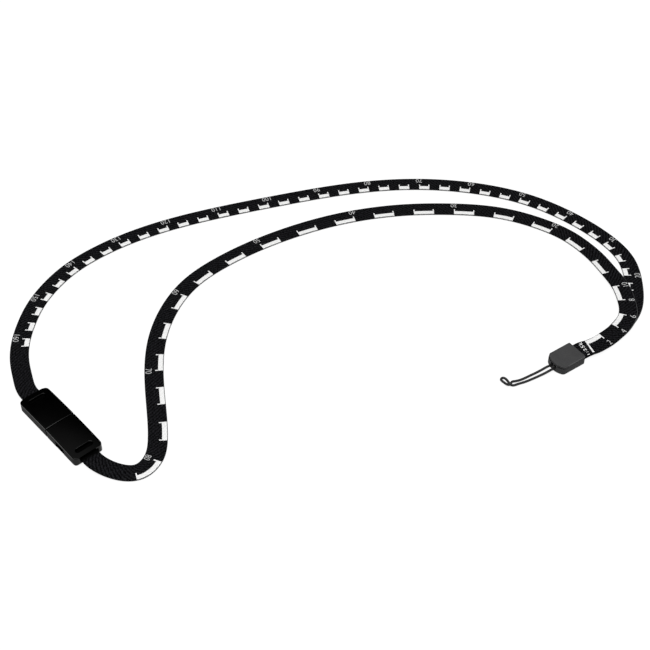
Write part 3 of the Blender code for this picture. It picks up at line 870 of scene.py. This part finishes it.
def prongShell(side):
    # flat bar from inside the plug to its rounded tip, one on each side of the slit: its section is a nearly
    # square superellipse that shrinks with the square of the way into the tip
    spec = prongSpec
    start = seamX - gap / 2 - spec["root"]
    neck = start + spec["length"]
    tip = neck + spec["root"]
    x = np.concatenate([np.linspace(start, neck, 12), neck + np.linspace(0.2, 1.0, 5) * spec["root"]])
    turn = np.linspace(0.0, 2 * math.pi, 33)[:-1]
    narrow = np.clip((x - tip + spec["tip"]) / spec["tip"], 0.0, 1.0)[:, None]
    middle = side * (spec["outer"] + spec["slit"]) / 2
    reachY = (spec["outer"] - spec["slit"]) / 2 * (1 - spec["tipNarrow"] * narrow ** 2)
    reachZ = spec["thickness"] / 2 * (1 - spec["tipThin"] * narrow ** 2)
    y = middle + reachY * np.sign(np.cos(turn)) * np.abs(np.cos(turn)) ** spec["square"]
    z = reachZ * np.sign(np.sin(turn)) * np.abs(np.sin(turn)) ** spec["square"]
    grid = np.stack([np.broadcast_to(x[:, None], y.shape), y, z], axis=-1)
    return closedShell(buckleAt, grid)


shell, paintedShading = buckleShell(halves["socket"])
socket = makePiece("socket_half", [shell], bucklePlastic, paintedShading)
shell, paintedShading = buckleShell(halves["plug"])
plugHalf = makePiece("plug_half", [shell, prongShell(1), prongShell(-1)], bucklePlastic, paintedShading)
print("buckle made")


# end block

blockSpec = {
    "length": 0.0095, "nose": 0.0016, "width": 0.0084, "rearRound": 0.0005,
    "tubShoulder": 0.0016, "lidShoulder": 0.0012, "lidBack": 0.0002,
    "tubTop": 0.0028, "lidLow": 0.00285, "top": 0.0037, "edgeTop": 0.00022, "edgeLow": 0.0004,
    "tubLip": 0.00005, "lidLip": 0.00008, "wallFrom": 0.00008, "lidWallFrom": 0.0001,
    "holeSpacing": 0.0014, "holeHeight": 0.00230, "holeRadius": 0.00062, "holeWall": 0.0001,
    "holeDepth": 0.0012, "ledgeFrom": 0.0017, "ledgeShade": 0.9, "edgeHighlight": 0.9,
    "cordSpacing": 0.0018, "cordHeight": 0.0017,
}
outlineCounts = {"nose": 121, "shoulder": 12, "side": 24, "corner": 8, "rear": 20}


def blockOutline(setBack, shoulder):
    # plan of the block, counter-clockwise: an arc for the nose, rounded shoulders, straight sides and a
    # square rear with small rounds; the shoulder's circle touches both the side and the nose's circle
    spec = blockSpec
    half = spec["width"] / 2
    rise = spec["nose"]
    radius = (half ** 2 + rise ** 2) / (2 * rise)
    middle = blockRear - spec["length"] - rise + radius + setBack
    inner = half - shoulder
    reach = math.sqrt((radius - shoulder) ** 2 - inner ** 2)
    sweep = math.atan2(inner, reach)
    angle = np.linspace(sweep, -sweep, outlineCounts["nose"])
    nose = np.stack([middle - radius * np.cos(angle), radius * np.sin(angle)], axis=1)
    turn = np.linspace(sweep, math.pi / 2, outlineCounts["shoulder"])[1:]
    nearX, nearY = middle - reach - shoulder * np.cos(turn), -inner - shoulder * np.sin(turn)
    nearRound = np.stack([nearX, nearY], axis=1)
    near = np.linspace(nearRound[-1], (blockRear - spec["rearRound"], -half), outlineCounts["side"])[1:]
    turn = np.linspace(-math.pi / 2, 0.0, outlineCounts["corner"])[1:]
    rearX = blockRear - spec["rearRound"] * (1 - np.cos(turn))
    low = np.stack([rearX, -half + spec["rearRound"] * (1 + np.sin(turn))], axis=1)
    rear = np.linspace(low[-1], (blockRear, half - spec["rearRound"]), outlineCounts["rear"])[1:]
    nearSide = np.concatenate([nearRound, near, low])
    return np.concatenate([nose, nearSide, rear, nearSide[-2::-1] * (1, -1)])


def blockRings(outline, levels):
    # the outline at each (height, inset), moved in along its own normals
    tangent = np.roll(outline, -1, axis=0) - np.roll(outline, 1, axis=0)
    normal = np.stack([tangent[:, 1], -tangent[:, 0]], axis=1)
    normal /= np.linalg.norm(normal, axis=1)[:, None] + 1e-12
    rings = []
    for height, inset in levels:
        rings.append(np.column_stack([outline - normal * inset, np.full(len(outline), height)]))
    return rings


def closedBlock(outline, levels):
    # the rings from below upwards, drawn in to a small cap at both ends
    rings = blockRings(outline, levels)
    under, over = (ring * (capShare, capShare, 1) for ring in (rings[0], rings[-1]))
    return np.array([under] + rings + [over])


def quarterEdge(start, end, inset, upper):
    # four steps of a small round between a wall and a flat face, as (height, inset)
    turn = np.linspace(0.0, math.pi / 2, 5)
    if upper:
        return [(start + (end - start) * math.sin(t), inset * (1 - math.cos(t))) for t in turn]
    return [(start + (end - start) * (1 - math.cos(t)), inset * (1 - math.sin(t))) for t in turn]


def tubShell():
    spec = blockSpec
    levels = quarterEdge(0.0, spec["edgeLow"], spec["edgeLow"], False)
    wall = np.linspace(spec["edgeLow"] + spec["wallFrom"], spec["tubTop"] - spec["wallFrom"], 30)
    levels += [(z, 0.0) for z in wall]
    levels += quarterEdge(spec["tubTop"] - spec["tubLip"], spec["tubTop"], spec["tubLip"], True)
    grid = closedBlock(blockOutline(0.0, spec["tubShoulder"]), levels)
    # cord holes: round pits in the nose wall with painted shade inside; the ends of the ledge in front of
    # the lid get painted shade too
    atNose = grid[..., 0] < blockRear - spec["length"] + spec["nose"]
    onLedge = grid[..., 2] > spec["tubTop"] - 0.8 * spec["tubLip"]
    onLedge = onLedge & (np.abs(grid[..., 1]) > spec["ledgeFrom"])
    paintedShading = np.where(atNose & onLedge, spec["ledgeShade"], 0.0)
    for side in (-1, 1):
        off = np.hypot(grid[..., 1] - side * spec["holeSpacing"] / 2, grid[..., 2] - spec["holeHeight"])
        pit = 1 - smoothStep(-spec["holeWall"], spec["holeWall"], off - spec["holeRadius"])
        grid[..., 0] += np.where(atNose, pit * spec["holeDepth"], 0.0)
        paintedShading = np.maximum(paintedShading, np.where(atNose, smoothStep(0.3, 0.7, pit), 0.0))
    return closedShell(blockAt, grid), paintedShading


def lidShell():
    spec = blockSpec
    edgeFrom = spec["top"] - spec["edgeTop"]
    levels = quarterEdge(spec["lidLow"], spec["lidLow"] + spec["lidLip"], spec["lidLip"], False)
    levels += [(z, 0.0) for z in np.linspace(spec["lidLow"] + spec["lidWallFrom"], edgeFrom, 5)]
    levels += quarterEdge(edgeFrom, spec["top"], spec["edgeTop"], True)
    grid = closedBlock(blockOutline(spec["lidBack"], spec["lidShoulder"]), levels)
    # painted highlight: the top edge is made lighter along the sides and the rear
    onEdge = (grid[..., 2] > spec["top"] - spec["edgeTop"] * 0.8) & (grid[..., 2] < spec["top"] - 1e-6)
    behindNose = grid[..., 0] > blockRear - spec["length"] + spec["nose"]
    paintedShading = np.where(onEdge & behindNose, -spec["edgeHighlight"], 0.0)
    return closedShell(blockAt, grid), paintedShading


shell, paintedShading = tubShell()
tub = makePiece("block_tub", [shell], blockPlastic, paintedShading)
shell, paintedShading = lidShell()
lid = makePiece("block_lid", [shell], blockPlastic, paintedShading)
print("end block made")


# cord loop

cordSpec = {
    "diameter": 0.0008, "bulk": 0.00088, "step": 0.0002, "sides": 14, "wall": 0.0019,
    "shade": (0.0002, 0.0014),
}
noseTip = -0.00555
cordRoute = [
    (0.07345, -0.02695, 0.00125), (0.0715, -0.02795, 0.0008), (0.06935, -0.02915, 0.0005),
    (0.06715, -0.0304, 0.0004), (0.0635, -0.0325, 0.00045), (0.0618, -0.03325, 0.0007),
    (0.06085, -0.0338, 0.0011), (0.06035, -0.03445, 0.00145), (0.06, -0.0352, 0.0016),
    (0.0595, -0.03555, 0.00145), (0.0589, -0.0351, 0.00105), (0.05835, -0.03425, 0.00065),
    (0.0578, -0.0334, 0.00042), (0.05735, -0.03285, 0.0004), (0.0571, -0.03225, 0.0004),
    (0.0573, -0.0317, 0.0004), (0.0578, -0.03145, 0.0004), (0.0584, -0.03165, 0.0004),
    (0.0589, -0.0322, 0.0004), (0.0593, -0.03295, 0.0004), (0.05965, -0.0338, 0.0004),
    (0.06, -0.0345, 0.0004), (0.06075, -0.0349, 0.0004), (0.0623, -0.03445, 0.0004),
    (0.06445, -0.0336, 0.0004), (0.06805, -0.0318, 0.0004), (0.0709, -0.03025, 0.0005),
    (0.0727, -0.0294, 0.00085), (0.0743, -0.0286, 0.00125),
]


def tubeAlong(middle, radius, sides):
    # circle carried along the line, its side direction kept level
    along, across, up = travel(middle)
    turn = np.linspace(0.0, 2 * math.pi, sides + 1)[:-1]
    ring = across[:, None] * np.cos(turn)[None, :, None] + up[:, None] * np.sin(turn)[None, :, None]
    return middle[:, None] + radius * ring


holeY, holeZ = blockSpec["cordSpacing"] / 2, blockSpec["cordHeight"]
spots = np.array([(noseTip + cordSpec["wall"], holeY, holeZ), (noseTip, holeY, holeZ)])
firstSpots = toWorld(blockAt, spots)
lastSpots = toWorld(blockAt, spots[::-1] * (1, -1, 1))
cordLine = smoothRoute(np.concatenate([firstSpots, np.array(cordRoute), lastSpots]), cordSpec["step"])
cordLength = np.linalg.norm(np.diff(cordLine, axis=0), axis=1).sum()
cordU = np.linspace(0.0, cordLength, len(cordLine))
cordGrid = tubeAlong(cordLine, cordSpec["bulk"] / 2, cordSpec["sides"])
cordShell = tubeShell(cordGrid, cordU * 100, np.linspace(0, 1, cordSpec["sides"] + 1))
# painted shade on the cord inside the nose holes and just out of them
shadeNearHole = [cordSpec["wall"] + reach for reach in cordSpec["shade"]]
cordShade = endShade(cordU, shadeNearHole, shadeNearHole)
cordPiece = makePiece("cord_braid", [cordShell], braid, np.repeat(cordShade, cordSpec["sides"]))
print("cord is", round(cordLength * 1000, 1), "mm long")


# what rides where

for label, spec in straps.items():
    web, scale, figures = spec["pieces"]
    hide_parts("strap_" + label)
    for piece in spec["pieces"]:
        if label == "50k":
            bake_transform(piece)
        else:
            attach(piece, "lanyard")

for piece, node, body, slot in (
    (socket, "buckle_socket", "lanyard", "buckle_plastic"),
    (plugHalf, "buckle_plug", "plug", "buckle_plastic"),
    (tub, "end_block_tub", "lanyard", "block_plastic"),
    (lid, "end_block_lid", "lanyard", "block_plastic"),
    (cordPiece, "cord_loop", "lanyard", "cord"),
):
    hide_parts(node)
    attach(piece, body)
for node, material in (("socket_clamp_bar", clampPlastic), ("plug_clamp_bar", clampPlastic),
                       ("far_cord_knot", knotBraid), ("near_cord_knot", knotBraid)):
    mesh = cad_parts[node].data
    mesh.materials.clear()
    mesh.materials.append(material)
print("pieces ride on their bodies")


# floor, light and camera

stageSpec = {
    "floorSize": 6.0, "floorDrop": 0.0003,
    "floor": {"Base Color": (*grey(0.42), 1.0), "Roughness": 0.9, "Specular IOR Level": 0.0},
    "seenGlow": 0.90, "seenColour": (*grey(0.16), 1.0), "brightSide": (0.0, -0.25, 0.968),
    "room": {"From Min": 0.53, "From Max": 0.74, "To Min": 0.003, "To Max": 0.60},
}
lampSpec = {
    "keyLamp": {"place": (0.30, -0.42, 1.15), "size": 0.7, "power": 3.5},
    "fillLamp": {"place": (-0.44, -0.36, 1.10), "size": 0.7, "power": 4.4},
    "topLamp": {"place": (0.05, -0.32, 1.25), "size": 0.8, "power": 4.6},
}


def makeFloor():
    mesh = bpy.data.meshes.new("floor")
    half = stageSpec["floorSize"] / 2
    z = -stageSpec["floorDrop"]
    corners = [(-half, -half, z), (half, -half, z), (half, half, z), (-half, half, z)]
    mesh.from_pydata(corners, [], [(0, 1, 2, 3)])
    material, tree, shader = newMaterial("paleFloor")
    feedAll(tree, shader, stageSpec["floor"])
    # seen directly or in a reflection the floor is white, and still takes a faint shadow
    path = tree.nodes.new("ShaderNodeLightPath")
    seen = maths(tree, "MAXIMUM", path.outputs["Is Camera Ray"], path.outputs["Is Glossy Ray"])
    seen = maths(tree, "MAXIMUM", seen, path.outputs["Is Transmission Ray"])
    glow = tree.nodes.new("ShaderNodeEmission")
    glow.inputs["Strength"].default_value = stageSpec["seenGlow"]
    soft = tree.nodes.new("ShaderNodeBsdfDiffuse")
    soft.inputs["Color"].default_value = stageSpec["seenColour"]
    both = tree.nodes.new("ShaderNodeAddShader")
    feed(tree, glow.outputs[0], both.inputs[0])
    feed(tree, soft.outputs[0], both.inputs[1])
    mix = tree.nodes.new("ShaderNodeMixShader")
    feed(tree, seen, mix.inputs[0])
    feed(tree, shader.outputs[0], mix.inputs[1])
    feed(tree, both.outputs[0], mix.inputs[2])
    feed(tree, mix.outputs[0], tree.nodes["Material Output"].inputs["Surface"])
    mesh.materials.append(material)
    addObject("floor", mesh)


def makeWorld():
    world = bpy.data.worlds.new("studio")
    bpy.context.scene.world = world
    world.use_nodes = True
    tree = world.node_tree
    back = tree.nodes["Background"]
    path = tree.nodes.new("ShaderNodeLightPath")
    # the room: bright overhead and behind the camera, dark beyond the table
    away = tree.nodes.new("ShaderNodeTexCoord").outputs["Generated"]
    toward = vectorMaths(tree, "DOT_PRODUCT", away, stageSpec["brightSide"])
    room = tree.nodes.new("ShaderNodeMapRange")
    room.interpolation_type = "SMOOTHSTEP"
    feed(tree, toward["Value"], room.inputs["Value"])
    feedAll(tree, room, stageSpec["room"])
    level = maths(tree, "MAXIMUM", room.outputs["Result"], path.outputs["Is Camera Ray"])
    back.inputs["Color"].default_value = (1.0, 1.0, 1.0, 1.0)
    feed(tree, level, back.inputs["Strength"])


def addLamp(name, place, size, power):
    # a round lamp that points at the origin
    data = bpy.data.lights.new(name, "AREA")
    data.shape = "DISK"
    data.size = size
    data.energy = power
    lamp = addObject(name, data)
    lamp.location = place
    tilt = math.acos(place[2] / np.linalg.norm(place))
    yaw = math.atan2(-place[1], -place[0])
    lamp.rotation_euler = (tilt, 0.0, yaw - math.pi / 2)


makeFloor()
makeWorld()
for name, spec in lampSpec.items():
    addLamp(name, **spec)

# camera: looking down at the distance and with the lens that the printed scale gives
cameraSpec = {
    "height": 0.349, "centre": (-0.0030, -0.0055), "down": math.radians(45.0),
    "focalPixels": 1390.0, "picture": 650.0, "sensor": 36.0, "near": 0.01,
}
data = bpy.data.cameras.new("camera")
data.sensor_width = cameraSpec["sensor"]
data.sensor_fit = "HORIZONTAL"
data.lens = cameraSpec["focalPixels"] / cameraSpec["picture"] * data.sensor_width
data.clip_start = cameraSpec["near"]
camera = addObject("camera", data)
height = cameraSpec["height"]
back = height / math.tan(cameraSpec["down"])
camera.location = (cameraSpec["centre"][0], cameraSpec["centre"][1] - back, height)
camera.rotation_euler = (math.pi / 2 - cameraSpec["down"], 0.0, 0.0)
bpy.context.scene.camera = camera
bpy.context.scene.view_settings.view_transform = "Standard"
print("stage and camera set")

bpy.context.view_layer.update()
